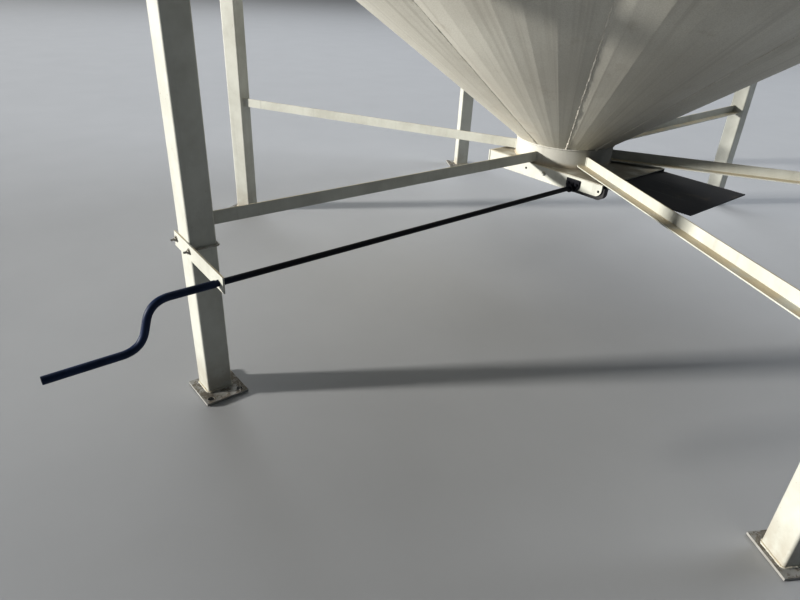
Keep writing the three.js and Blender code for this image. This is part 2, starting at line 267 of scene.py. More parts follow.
softbox("low_softbox", sun_azimuth, sun_height, sun_distance, sun_size, sun_watts, sunlight)
for name, azimuth, watts in (
    ("right_softbox", right_azimuth, right_watts), ("back_softbox", back_azimuth, back_watts),
):
    softbox(name, azimuth, fill_height, fill_distance, fill_size, watts, skylight)

# Legs: six upright square tubes of 100 mm with rounded corners, painted cream, bolted to the
# wall's outside through pairs of angle lugs. The paint is dull, streaked and rust-specked.
leg_inner = 2.022
leg_size = 0.1
lug_heights = (2.12, 2.62, 3.06)
lug_size = Vector((0.05, 0.006, 0.09))
lug_flange = 0.062
lug_gap = 0.0006
lug_inset = 0.0002
lug_rounding = 0.0012
lug_bolt_steps = (-0.024, 0.024)
lug_bolt_size = 0.008
leg_bolt_out = 0.03
wall_bolt_aside = 0.04
station_turn = math.pi / 3


def station(number):
    """Turns a leg's own directions, +X outwards and +Y to its left, into place."""
    turn = Matrix.Rotation(math.pi + (number - 1) * station_turn, 4, "Z")
    return Matrix.Translation(silo_axis) @ turn


def add_block(sheet, low, high):
    low, high = Vector(low), Vector(high)
    place = Matrix.Translation((low + high) / 2) @ Matrix.Diagonal((*(high - low), 1))
    return bmesh.ops.create_cube(sheet, matrix=place)["verts"]


def along(start, end):
    """Place and turn of a round piece whose own Z runs from start to end."""
    run = end - start
    return Matrix.Translation((start + end) / 2) @ run.to_track_quat("Z", "Y").to_matrix().to_4x4()


def add_bar(sheet, start, end, radius, sides, end_radius=None):
    start, end = Vector(start), Vector(end)
    return bmesh.ops.create_cone(
        sheet,
        cap_ends=True,
        segments=sides,
        radius1=radius,
        radius2=radius if end_radius is None else end_radius,
        depth=(end - start).length,
        matrix=along(start, end),
    )["verts"]


def add_bolt(sheet, place, direction, size):
    """Washer and hexagon head with a chamfered top. The size is the head's radius."""
    place, direction = Vector(place), Vector(direction).normalized()
    washer, shoulder, top = (place + direction * size * high for high in (0.22, 0.85, 1.05))
    add_bar(sheet, place, washer, size * 1.25, 16)
    add_bar(sheet, washer, shoulder, size, 6)
    add_bar(sheet, shoulder, top, size * 0.98, 6, size * 0.8)


def soften(sheet, width):
    """Rounds every edge of the bmesh over the given width."""
    bmesh.ops.bevel(sheet, geom=sheet.edges[:], offset=width, segments=2, affect="EDGES",
                    profile=0.5, material=-1)


def placed(sheet, matrix):
    bmesh.ops.transform(sheet, matrix=matrix, verts=sheet.verts)


def weathered_paint(name, colour, shade, dust_colour, bare=None):
    """Old paint: cloudy, with streaks down upright faces, dust on top and specks of rust.

    Where the wire that bare gives for a point is 1, the colour turns near-black; in the gate
    rails' bolt holes this is painted shade.
    """
    material, wires = new_material(name)
    place = wires.place()
    clouds = place.clouds(5, 6, 0.65)
    streaks = place.stretched(34, 34, 1.1).clouds(1, 4)
    height = place.part("Z")
    up = wires.facing_up()
    paint = wires.tint(clouds.between(0.36, 0.66), colour, shade)
    grime = tuple(part * 0.62 for part in shade)
    paint = wires.tint(streaks.between(0.56, 0.78) * 0.26, paint, grime)
    splash = (1 - height.between(0.01, 0.20)) * place.clouds(16, 5).between(0.35, 0.6)
    paint = wires.tint(splash * 0.42, paint, (0.30, 0.25, 0.19))
    dust = up.between(0.55, 0.9) * place.clouds(9, 6).between(0.26, 0.56)
    paint = wires.tint(dust * 0.85, paint, dust_colour)
    specks = place.clouds(85, 3, 0.6).between(0.68, 0.74) * clouds.between(0.45, 0.7)
    paint = wires.tint(specks * 0.8, paint, (0.17, 0.075, 0.035))
    if bare:
        # Near-black where bare gives 1; in the rails' empty bolt holes this is painted shade.
        paint = wires.tint(bare(place), paint, (0.022, 0.022, 0.025))
    fine = place.clouds(240, 2)
    relief = clouds * 0.5 + fine * 0.12 - specks * 0.5
    set_surface(
        material,
        Base_Color=paint,
        Roughness=0.42 + clouds * 0.22 + dust * 0.25,
        Normal=wires.bump(relief, 0.0016, 0.5),
    )
    return material


cream = (0.55, 0.56, 0.52)
cream_shade = (0.465, 0.47, 0.43)
cream_paint = weathered_paint("cream_paint", cream, cream_shade, (0.60, 0.52, 0.37))

zinc, wires = new_material("zinc_bolts")
mottle = wires.place().clouds(60, 5)
set_surface(
    zinc,
    Base_Color=wires.tint(mottle.between(0.3, 0.7), (0.50, 0.50, 0.48), (0.27, 0.25, 0.22)),
    Roughness=0.35 + mottle * 0.3,
    Metallic=0.55,
)

for number in range(1, 7):
    nodes[f"leg_{number}"].material_slots[0].material = cream_paint
    lugs, bolts = bmesh.new(), bmesh.new()
    for height in lug_heights:
        for side in (-1, 1):
            face = side * (leg_size / 2 + lug_gap)
            ends = sorted((face, face + side * lug_size.y))
            edge = sorted((face, face + side * lug_flange))
            add_block(
                lugs,
                (leg_inner + 2 * lug_inset, ends[0], height - lug_size.z / 2),
                (leg_inner + lug_size.x, ends[1], height + lug_size.z / 2),
            )
            add_block(
                lugs,
                (leg_inner, edge[0], height - lug_size.z / 2 + lug_inset),
                (leg_inner + lug_size.y, edge[1], height + lug_size.z / 2 - lug_inset),
            )
            for step in lug_bolt_steps:
                on_leg = (leg_inner + leg_bolt_out, ends[side > 0], height + step)
                add_bolt(bolts, on_leg, (0, side, 0), lug_bolt_size)
                aside = side * (leg_size / 2 + wall_bolt_aside)
                on_wall = (leg_inner + lug_size.y, aside, height + step)
                add_bolt(bolts, on_wall, (1, 0, 0), lug_bolt_size)
    soften(lugs, lug_rounding)
    for name, part, finish, slot in (
        ("leg_lugs", lugs, cream_paint, "cream_paint"),
        ("leg_lug_bolts", bolts, zinc, "bolt_steel"),
    ):
        placed(part, station(number))
        piece = new_object(f"{name}_{number}", part, finish)
        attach(piece, "silo")

# Foot plates: steel of 10 mm under each leg, with two anchor holes on its wide side. They are
# grey under a crust of soil, and a ragged fillet weld runs around the leg's foot.
foot_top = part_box("foot_plate_1")[1].z
leg_corner = 0.009
foot_weld_radius = 0.0045
weld_step = 0.004
weld_off = 0.001


def add_swept(sheet, points, radius, closed=False, rings=3, widths=None, caps=True):
    """Round bar along points, joined into the bmesh. Widths change its thickness on the way."""
    path = bpy.data.curves.new("path", "CURVE")
    path.dimensions = "3D"
    path.bevel_depth = radius
    path.bevel_resolution = rings
    path.use_fill_caps = caps and not closed
    line = path.splines.new("POLY")
    line.points.add(len(points) - 1)
    for knot, point, width in zip(line.points, points, widths or [1] * len(points)):
        knot.co = (*point, 1)
        knot.radius = width
    line.use_cyclic_u = closed
    holder = bpy.data.objects.new("path", path)
    mesh = bpy.data.meshes.new_from_object(holder)
    sheet.from_mesh(mesh)
    bpy.data.objects.remove(holder)
    bpy.data.curves.remove(path)
    bpy.data.meshes.remove(mesh)


def stepped(corners, step=weld_step, wander=0.0):
    """Points at even steps along straight runs, each off its line by up to the wander."""
    points = []
    for start, end in zip(corners, corners[1:]):
        start, end = Vector(start), Vector(end)
        count = max(1, round((end - start).length / step))
        for index in range(count):
            loose = Vector(random.uniform(-wander, wander) for _ in range(3))
            points.append(start.lerp(end, index / count) + loose)
    points.append(Vector(corners[-1]))
    return points


def uneven(count):
    """Widths of a bead that was laid by hand."""
    return [random.uniform(0.78, 1.22) for _ in range(count)]


def add_weld(sheet, corners, radius):
    points = stepped(corners, weld_step, radius * 0.12)
    add_swept(sheet, points, radius, rings=2, widths=uneven(len(points)))


soiled_steel, wires = new_material("soiled_steel")
place = wires.place()
crust = place.clouds(26, 8, 0.68)
pebbles = place.clouds(150, 3, 0.6)
shade = place.clouds(11, 5).between(0.35, 0.65)
bare = wires.tint(shade, (0.36, 0.36, 0.35), (0.27, 0.265, 0.25))
soil = wires.tint(pebbles.between(0.35, 0.65), (0.15, 0.135, 0.115), (0.23, 0.21, 0.18))
covered = crust.between(0.47, 0.54) * wires.facing_up().between(0.2, 0.7)
set_surface(
    soiled_steel,
    Base_Color=wires.tint(covered, bare, soil),
    Roughness=0.62 + covered * 0.33,
    Normal=wires.bump(covered * 0.7 + pebbles * 0.5, 0.0025, 0.6),
)

random.seed(11)
for number in range(1, 7):
    nodes[f"foot_plate_{number}"].material_slots[0].material = soiled_steel
    weld = bmesh.new()
    inner, outer = leg_inner - weld_off, leg_inner + leg_size + weld_off
    side = leg_size / 2 + weld_off
    cut = leg_corner
    corners = [
        (inner + cut, -side), (outer - cut, -side), (outer, cut - side), (outer, side - cut),
        (outer - cut, side), (inner + cut, side), (inner, side - cut), (inner, cut - side),
        (inner + cut, -side),
    ]
    add_weld(weld, [(x, y, foot_top + weld_off) for x, y in corners], foot_weld_radius)
    placed(weld, station(number))
    piece = new_object(f"foot_weld_{number}", weld, cream_paint)
    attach(piece, "silo")

# Tie wire: a bent end of thin bright wire that stands in the inner anchor hole of leg 1. It is
# zinc-plated, stiff enough to keep its bends, and only pushed in.
wire_radius = 0.0011
wire_corners = [
    (2.008, 0.092, 0.001), (2.010, 0.090, 0.018), (2.004, 0.083, 0.034), (2.012, 0.100, 0.030),
    (2.021, 0.118, 0.020), (2.016, 0.124, 0.013),
]
wire = bmesh.new()
add_swept(wire, [Vector(corner) for corner in wire_corners], wire_radius, rings=2)
placed(wire, station(1))
piece = new_object("tie_wire", wire, zinc)
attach(piece, "silo")

# Braces: angle iron of 50 mm between each leg and the outlet collar, painted with the legs.
# Dust lies on the flat side. Both ends are welded all along the section.
brace_inner = 0.2553
brace_outer = 2.0217
brace_half = 0.025
brace_thick = 0.006
brace_rise = math.tan(math.radians(0.8))
brace_bottom = 0.670
flat_weld_radius = 0.0038
back_weld_radius = 0.0036

random.seed(12)
for number in range(1, 7):
    nodes[f"brace_{number}"].material_slots[0].material = cream_paint
    weld = bmesh.new()
    for x, off in ((brace_inner, weld_off), (brace_outer, -weld_off)):
        low = brace_bottom + (x - brace_inner) * brace_rise
        flat = low + brace_thick
        top = low + 2 * brace_half
        add_weld(weld, [
            (x + off, -brace_half, flat),
            (x + off, brace_half - brace_thick, flat),
            (x + off, brace_half - brace_thick, top),
        ], flat_weld_radius)
        back = brace_half + weld_off
        add_weld(weld, [(x + off, back, low), (x + off, back, top)], back_weld_radius)
    placed(weld, station(number))
    piece = new_object(f"brace_welds_{number}", weld, cream_paint)
    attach(piece, "silo")

# Hopper: ten panels of grey sheet, each bent in flat strips that run down to the outlet. The
# panels lap in shallow valleys, where pale sealant was smeared by hand down the seam.
hopper_tip = 0.576
hopper_slope = math.tan(math.radians(34.67))
hopper_radius = 2.0207
hopper_bulge = 0.035
hopper_turn = math.radians(20.8)
hopper_panels = 10
bead_radius = 0.0034
bead_step = 0.006
bead_margin = 0.004
bead_lift = 0.0012
bead_wander = 0.003
bead_jitter = 0.0012
heap_length = 0.12

hopper_sheet, wires = new_material("hopper_sheet")
place = wires.place()
out_x = place.part("X") - silo_axis.x
out_y = place.part("Y")
bearing = wires.math("ARCTAN2", out_y, out_x)
height = place.part("Z")


def ray_noise(lines, down, detail):
    """Noise drawn out along the strips, so that it fans out from the outlet."""
    point = wires.node("ShaderNodeCombineXYZ", {"X": bearing * lines, "Y": height * down})
    return point.clouds(1, detail)


broad = place.clouds(1.6, 6, 0.6)
streaks = ray_noise(38, 0.9, 5)
threads = ray_noise(230, 1.6, 3)
sheet_colour = wires.tint(broad.between(0.3, 0.7), (0.68, 0.67, 0.61), (0.575, 0.56, 0.505))
sheet_colour = wires.tint(streaks.between(0.46, 0.74) * 0.36, sheet_colour, (0.34, 0.32, 0.28))
sheet_colour = wires.tint(threads.between(0.5, 0.75) * 0.35, sheet_colour, (0.66, 0.64, 0.59))
speckle = place.clouds(210, 4, 0.75)
sheet_colour = wires.tint(speckle.between(0.40, 0.62) * 0.30, sheet_colour, (0.38, 0.36, 0.315))
stains = place.clouds(7, 7, 0.7).between(0.58, 0.76)
sheet_colour = wires.tint(stains * 0.35, sheet_colour, (0.32, 0.275, 0.215))
low_dust = (1 - height.between(0.75, 1.25)) * place.clouds(5, 5).between(0.3, 0.65)
sheet_colour = wires.tint(low_dust * 0.3, sheet_colour, (0.60, 0.55, 0.45))
set_surface(
    hopper_sheet,
    Base_Color=sheet_colour,
    Roughness=0.50 + broad * 0.22,
    Metallic=0.1,
    Normal=wires.bump(threads * 0.35 + broad * 0.65 + speckle * 0.2, 0.0022, 0.4),
)
for number in range(1, hopper_panels + 1):
    nodes[f"hopper_panel_{number}"].material_slots[0].material = hopper_sheet

sealant, wires = new_material("seam_sealant")
lumps = wires.place().clouds(95, 5, 0.65)
smear = wires.place().clouds(14, 4)
set_surface(
    sealant,
    Base_Color=wires.tint(
        lumps.between(0.36, 0.62) * smear.between(0.3, 0.7),
        (0.72, 0.70, 0.64),
        (0.52, 0.49, 0.43),
    ),
    Roughness=0.78,
    Normal=wires.bump(lumps, 0.004, 0.8),
)

random.seed(13)
seam_low = (collar_high.z - hopper_tip) / hopper_slope
for number in range(1, hopper_panels + 1):
    bead = bmesh.new()
    seam = math.pi + hopper_turn + (number - 0.5) * 2 * math.pi / hopper_panels
    points, widths = [], []
    reach = seam_low + bead_margin
    while reach < hopper_radius - bead_margin:
        side = bead_wander * noise.noise(Vector((reach * 21, number, 0)))
        side += random.uniform(-bead_jitter, bead_jitter)
        out = reach * (1 - hopper_bulge)
        points.append(silo_axis + Vector((
            out * math.cos(seam) - side * math.sin(seam),
            out * math.sin(seam) + side * math.cos(seam),
            hopper_tip + reach * hopper_slope + bead_lift,
        )))
        swell = noise.noise(Vector((reach * 9, number, 5)))
        swell += noise.noise(Vector((reach * 55, number, 9)))
        heap = 1 + 0.9 * max(0, 1 - (reach - seam_low) / heap_length)
        widths.append(heap * max(0.35, 1 + 0.7 * swell + random.uniform(-0.18, 0.18)))
        reach += bead_step
    add_swept(bead, points, bead_radius, rings=2, widths=widths)
    piece = new_object(f"seam_bead_{number}", bead, sealant)
    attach(piece, "silo")

# Outlet collar: a short upright ring of grey sheet under the point of the hopper. It is welded
# to the hopper above and to the gate's cover plate below, and it is rolled smooth.
collar_facet = 0.255
collar_wall = 0.006
collar_steps = 144
collar_weld_points = 380
collar_weld_off = 0.0015
upper_weld_radius = 0.0045
lower_weld_radius = 0.0032


def around(radius, height, count):
    """Points at even steps on a level circle about the silo's axis."""
    angles = (2 * math.pi * index / count for index in range(count))
    return [
        silo_axis + Vector((radius * math.cos(angle), radius * math.sin(angle), height))
        for angle in angles
    ]


collar_sheet, wires = new_material("collar_sheet")
place = wires.place()
clouds = place.clouds(7, 6, 0.6)
run = place.stretched(30, 30, 2.2).clouds(1, 5)
collar_colour = wires.tint(clouds.between(0.3, 0.7), (0.555, 0.555, 0.53), (0.48, 0.475, 0.44))
collar_colour = wires.tint(run.between(0.52, 0.8) * 0.45, collar_colour, (0.36, 0.34, 0.30))
foot_dust = 1 - place.part("Z").between(collar_low.z, collar_low.z + 0.03)
foot_dust = foot_dust * clouds.between(0.2, 0.6) * 0.7
collar_colour = wires.tint(foot_dust, collar_colour, (0.50, 0.42, 0.31))
set_surface(
    collar_sheet,
    Base_Color=collar_colour,
    Roughness=0.62 + clouds * 0.25,
    Specular_IOR_Level=0.3,
    Normal=wires.bump(clouds + run * 0.3, 0.0015, 0.4),
)
nodes["outlet_collar"].material_slots[0].material = collar_sheet

ring = bmesh.new()
section = []
for out, height in (
    (collar_facet, collar_low.z), (collar_facet, collar_high.z),
    (collar_facet - collar_wall, collar_high.z), (collar_facet - collar_wall, collar_low.z),
):
    section.append(ring.verts.new((out, 0, height)))
edges = [ring.edges.new(pair) for pair in zip(section, section[1:] + section[:1])]
bmesh.ops.spin(ring, geom=section + edges, cent=(0, 0, 0), axis=(0, 0, 1), angle=2 * math.pi,
               steps=collar_steps, dvec=(0, 0, 0), use_merge=True)
placed(ring, Matrix.Translation(silo_axis))
piece = new_object("collar_ring", ring, collar_sheet)
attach(piece, "silo")
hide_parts("outlet_collar")

random.seed(14)
weld = bmesh.new()
for height, radius in (
    (collar_high.z, upper_weld_radius), (collar_low.z + collar_weld_off, lower_weld_radius),
):
    points = around(collar_facet + collar_weld_off, height, collar_weld_points)
    add_swept(weld, points, radius, closed=True, rings=2, widths=uneven(len(points)))
piece = new_object("collar_welds", weld, collar_sheet)
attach(piece, "silo")

# Hopper ring: a rolled angle of galvanised steel that ties the hopper to the wall. Its
# bolts go through the upright side, and none sits behind a leg.
ring_low, ring_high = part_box("hopper_ring")
wall_facet = 2.0217
facet_count = 48
ring_bolt_size = 0.0075
ring_bolt_rows = (ring_low.z + 0.022, ring_high.z - 0.016)


def galvanised(name, light, dark):
    """Old zinc: spangle, drip lines down the sheet and a dull bloom."""
    material, wires = new_material(name)
    place = wires.place()
    spangle = place.node("ShaderNodeTexVoronoi", {"Vector": place, "Scale": 42.0}, output="Color")
    flake = spangle.part("X")
    bloom = place.clouds(2.4, 6, 0.62)
    drips = place.stretched(17, 17, 0.6).clouds(1, 5)
    zinc_colour = wires.tint(bloom.between(0.32, 0.68), light, dark)
    zinc_colour = wires.tint(flake * 0.16, zinc_colour, tuple(part * 1.35 for part in light))
    zinc_colour = wires.tint(drips.between(0.54, 0.8) * 0.4, zinc_colour,
                             tuple(part * 0.6 for part in dark))
    set_surface(
        material,
        Base_Color=zinc_colour,
        Roughness=0.36 + bloom * 0.2 + flake * 0.08,
        Metallic=0.45,
        Normal=wires.bump(bloom, 0.002, 0.3),
    )
    return material


wall_zinc = galvanised("wall_zinc", (0.42, 0.425, 0.42), (0.33, 0.33, 0.32))
nodes["hopper_ring"].material_slots[0].material = wall_zinc
bolts = bmesh.new()
for facet in range(facet_count):
    if facet % (facet_count // 6) == 0:
        continue
    angle = facet * 2 * math.pi / facet_count
    out = Vector((math.cos(angle), math.sin(angle), 0))
    for height in ring_bolt_rows:
        place = silo_axis + out * wall_facet + Vector((0, 0, height))
        add_bolt(bolts, place, out, ring_bolt_size)
piece = new_object("ring_bolts", bolts, zinc)
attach(piece, "silo")

# Wall: three rings of six corrugated galvanised sheets, rolled to the silo's round. The rings
# and the upright laps are bolted, and a lap strip covers each upright joint.
wall_low, wall_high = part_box("wall_panel_1")[0].z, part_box("wall_panel_1")[1].z
wall_crest = 2.0198
wave_depth = 0.013
waves_in_ring = 18
points_in_wave = 6
wall_rings = 3
sheet_steps = 12
lap_turn = math.radians(1.7)
lap_bolt_turn = 0.32 * lap_turn
lap_steps = 2
lap_lift = 0.0014
sheet_thick = 0.0012
wall_bolt_size = 0.0055
joint_bolts = 60


def wave_radius(share):
    return wall_crest - wave_depth * (0.5 - 0.5 * math.cos(2 * math.pi * waves_in_ring * share))


def add_waved_sheet(sheet, low, high, start, turn, steps, lift):
    """Corrugated sheet: the wavy section is drawn once and spun about the silo's axis."""
    count = waves_in_ring * points_in_wave
    section = []
    for index in range(count + 1):
        share = index / count
        out = wave_radius(share) + lift
        section.append(sheet.verts.new((
            out * math.cos(start), out * math.sin(start), low + (high - low) * share,
        )))
    edges = [sheet.edges.new(pair) for pair in zip(section, section[1:])]
    bmesh.ops.spin(sheet, geom=section + edges, cent=(0, 0, 0), axis=(0, 0, 1), angle=turn,
                   steps=steps, dvec=(0, 0, 0), use_merge=False)


ring_height = (wall_high - wall_low) / wall_rings
for number in range(1, 7):
    start = math.pi + (number - 1.5) * station_turn
    sheet, strip = bmesh.new(), bmesh.new()
    for ring in range(wall_rings):
        low = wall_low + ring * ring_height
        high = low + ring_height
        add_waved_sheet(sheet, low, high, start, station_turn, sheet_steps, 0.0)
        add_waved_sheet(strip, low, high, start - lap_turn / 2, lap_turn, lap_steps, lap_lift)
    for part, name in ((sheet, "wall_sheet"), (strip, "wall_lap")):
        bmesh.ops.recalc_face_normals(part, faces=part.faces)
        middle = part.faces[:][len(part.faces) // 2]
        if middle.normal.dot(Vector((*middle.calc_center_median().xy, 0))) < 0:
            bmesh.ops.reverse_faces(part, faces=part.faces)
        placed(part, Matrix.Translation(silo_axis))
        mesh = bpy.data.meshes.new(name)
        for face in part.faces:
            face.smooth = True
        part.to_mesh(mesh)
        part.free()
        piece = bpy.data.objects.new(f"{name}_{number}", mesh)
        mesh.materials.append(wall_zinc)
        bpy.context.scene.collection.objects.link(piece)
        wall = piece.modifiers.new("thickness", "SOLIDIFY")
        wall.thickness = sheet_thick
        wall.offset = -1
        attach(piece, "silo")
        if name == "wall_sheet":
            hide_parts(f"wall_panel_{number}")

bolts = bmesh.new()
crest_step = 1 / waves_in_ring
for ring in range(wall_rings):
    low = wall_low + ring * ring_height
    for number in range(6):
        angle = math.pi + (number - 0.5) * station_turn
        for crest in range(1, waves_in_ring):
            for side in (-1, 1):
                turn = angle + side * lap_bolt_turn
                out = Vector((math.cos(turn), math.sin(turn), 0))
                height = Vector((0, 0, low + ring_height * crest * crest_step))
                start = silo_axis + out * (wall_crest + sheet_thick) + height
                add_bolt(bolts, start, out, wall_bolt_size)
for line in range(1, wall_rings):
    for step in range(joint_bolts):
        angle = (step + 0.5) * 2 * math.pi / joint_bolts
        out = Vector((math.cos(angle), math.sin(angle), 0))
        for side in (-1, 1):
            height = wall_low + line * ring_height + side * crest_step * ring_height
            start = silo_axis + out * wall_crest + Vector((0, 0, height))
            add_bolt(bolts, start, out, wall_bolt_size)
piece = new_object("wall_bolts", bolts, zinc)
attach(piece, "silo")

# Roof: six plain galvanised panels with a raised rib along every second fold, screwed down
# near the eave and half way up. Each rib is a folded channel, narrower at its top.
roof_pitch = math.radians(30)
roof_slope = math.tan(roof_pitch)
roof_normal = Vector((math.sin(roof_pitch), 0, math.cos(roof_pitch)))
roof_thick = 0.004 / math.cos(roof_pitch)
roof_gap = 0.0003
rib_ends = (0.385, 2.082)
rib_width = 0.034
rib_height = 0.022
rib_taper = 0.55
rib_sunk = 0.001
rib_rounding = 0.004
screw_radii = (0.9, 1.45, 2.0)
screw_size = 0.006


def roof_top(out):
    return wall_high + roof_gap + (wall_facet - out) * roof_slope + roof_thick


roof_zinc = galvanised("roof_zinc", (0.45, 0.455, 0.45), (0.35, 0.35, 0.345))
for number in range(1, 7):
    nodes[f"roof_panel_{number}"].material_slots[0].material = roof_zinc
ribs, screws = bmesh.new(), bmesh.new()
for facet in range(facet_count):
    angle = facet * 2 * math.pi / facet_count
    turn = Matrix.Rotation(angle, 4, "Z")
    if facet % 2 == 0:
        verts = add_block(ribs, (rib_ends[0], -rib_width / 2, 0), (rib_ends[1], rib_width / 2, 1))
        for vert in verts:
            top = vert.co.z > 0.5
            if top:
                vert.co.y *= rib_taper
            vert.co.z = roof_top(vert.co.x) + (rib_height if top else -rib_sunk)
        bmesh.ops.transform(ribs, matrix=turn, verts=verts)
        continue
    for radius in screw_radii:
        place = silo_axis + turn @ Vector((radius, 0, roof_top(radius)))
        add_bolt(screws, place, turn @ roof_normal, screw_size)
soften(ribs, rib_rounding)
placed(ribs, Matrix.Translation(silo_axis))
for name, part, finish, slot in (
    ("roof_ribs", ribs, roof_zinc, "roof_sheet"),
    ("roof_screws", screws, zinc, "bolt_steel"),
):
    piece = new_object(name, part, finish)
    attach(piece, "silo")

# Roof cap: a shallow cone over the filling hole, held by twelve bolts through its rim, with a
# rolled bead along the rim.
nodes["roof_cap"].material_slots[0].material = roof_zinc
rim_radius = 0.372
rim_bead = 0.006
rim_points = 96
cap_lift = roof_thick + roof_gap
cap_bolt_circle = 0.33
cap_bolts = 12
cap_bolt_size = 0.008
trim, bolts = bmesh.new(), bmesh.new()
rim = around(rim_radius, roof_top(rim_radius) + cap_lift, rim_points)
add_swept(trim, rim, rim_bead, closed=True)
for step in range(cap_bolts):
    turn = Matrix.Rotation((step + 0.5) * 2 * math.pi / cap_bolts, 4, "Z")
    place = Vector((cap_bolt_circle, 0, roof_top(cap_bolt_circle) + cap_lift))
    add_bolt(bolts, silo_axis + turn @ place, turn @ roof_normal, cap_bolt_size)
for name, part, finish, slot in (
    ("cap_rim", trim, roof_zinc, "roof_sheet"),
    ("cap_bolts", bolts, zinc, "bolt_steel"),
):
    piece = new_object(name, part, finish)
    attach(piece, "silo")

# Gate frame: cover plate, two side rails with their guides and a bar across the back, painted
# with the legs and dusty on top, with painted shade in the cover plate's darker dust. Bolts sit
# in the middle holes of both rails, the guides turn near-black in front of the shaft, and the
# empty bolt holes carry painted shade.
rail_face = 0.2783
rail_hole_height = 0.627
middle_hole = 0.105
rail_holes = (-0.013, 0.436)
rail_bolt_size = 0.0095
shank_radius = 0.0045
shank_length = 0.028
rail_ends = (-0.277, 0.452)
rail_top = 0.6602
top_weld_in = 0.0082
top_weld_radius = 0.0016
end_weld_off = 0.0002
end_weld_radius = 0.003
end_weld_heights = (0.603, 0.659)
bore_shade_radius = 0.006
web_face = 0.2704
dark_guide_from = 0.28


def dark_guide_and_bore_shade(place):
    """1 on the guides in front of the shaft and in and just around the web's empty bolt holes, 0
    elsewhere.
    """
    offset = place.math("ABSOLUTE", place.part("X") - silo_axis.x)
    cream_shows = offset.between(web_face, web_face + 0.0003)
    # Behind the shaft the guides stay cream; in front of it they are near-black.
    covered = place.part("Y").between(-dark_guide_from, 0.01 - dark_guide_from)
    cream_shows = place.math("MAXIMUM", cream_shows, covered)
    rise = place.part("Z") - rail_hole_height
    # The empty bolt holes and a thin ring around them are painted near-black: painted shade inside
    # the holes.
    for hole in rail_holes:
        run = place.part("Y") + hole
        from_hole = run * run + rise * rise
        cream_shows = cream_shows * from_hole.between(bore_shade_radius ** 2, (bore_shade_radius + 0.0004) ** 2)
    return 1 - cream_shows


# The rails and the cover plate get darker dust than the legs. On the cover plate this is painted
# shade from the hopper above. On the rails it is dust and painted shade together.
rail_paint = weathered_paint("rail_paint", cream, cream_shade, (0.42, 0.35, 0.24), dark_guide_and_bore_shade)
shaded_cover_paint = weathered_paint("shaded_cover_paint", cream, cream_shade, (0.27, 0.235, 0.18))
for name, finish in (
    ("gate_cover_plate", shaded_cover_paint), ("gate_end_bar", cream_paint),
    ("gate_rail_near", rail_paint), ("gate_rail_far", rail_paint),
):
    nodes[name].material_slots[0].material = finish

bolts, weld = bmesh.new(), bmesh.new()
for side in (-1, 1):
    outside = (side * rail_face, middle_hole, rail_hole_height)
    inside = (side * (rail_face - shank_length), middle_hole, rail_hole_height)
    add_bolt(bolts, outside, (side, 0, 0), rail_bolt_size)
    add_bar(bolts, outside, inside, shank_radius, 12)
random.seed(15)
for side in (-1, 1):
    x = side * (rail_face - top_weld_in)
    add_weld(weld, [(x, y, rail_top) for y in rail_ends], top_weld_radius)
    x, y = side * (rail_face + end_weld_off), rail_ends[0] - end_weld_off
    add_weld(weld, [(x, y, z) for z in end_weld_heights], end_weld_radius)
for name, part, finish, slot in (
    ("gate_bolts", bolts, cream_paint, "cream_paint"),
    ("gate_welds", weld, cream_paint, "cream_paint"),
):
    placed(part, station(1))
    piece = new_object(name, part, finish)
    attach(piece, "silo")

# Slide: a dark steel sheet that runs on the guides, with a folded lip along its front edge and
# hemmed sides. Under each side sits a toothed rack that the pinions turn against.
rack_offset = 0.200
rack_width = 0.020
rack_bottom = 0.634
tooth_depth = 0.0055
tooth_half = 0.0036
tooth_taper = 0.55
tooth_sunk = 0.0005
pinion_teeth = 12
pitch_radius = 0.024
tooth_pitch = 2 * math.pi * pitch_radius / pinion_teeth
shaft_place = Vector((0, 0.290, 0.607))
rack_span = (0.265, 0.845)
lip_height = 0.6502
lip_radius = 0.0022
lip_back = 0.0024
lip_step = 0.05
hem_start = 0.47
hem_radius = 0.0015
hem_in = 0.0018
hem_back = 0.003
slide_low, slide_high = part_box("slide_gate")
slide_end = -slide_low.y

slide_steel, wires = new_material("slide_steel")
place = wires.place()
clouds = place.clouds(4.5, 7, 0.62)
scratches = place.stretched(110, 2.4, 40).clouds(1, 5)
slide_colour = wires.tint(clouds.between(0.34, 0.68), (0.036, 0.039, 0.048), (0.058, 0.059, 0.066))
slide_colour = wires.tint(scratches.between(0.62, 0.72) * 0.55, slide_colour, (0.20, 0.20, 0.205))
stains = place.clouds(10, 6).between(0.58, 0.74)
slide_colour = wires.tint(stains * 0.5, slide_colour, (0.15, 0.12, 0.09))
set_surface(
    slide_steel,
    Base_Color=slide_colour,
    Roughness=0.50 + clouds * 0.28,
    Metallic=0.2,
    Normal=wires.bump(clouds + scratches * 0.2, 0.002, 0.4),
)
nodes["slide_gate"].material_slots[0].material = slide_steel

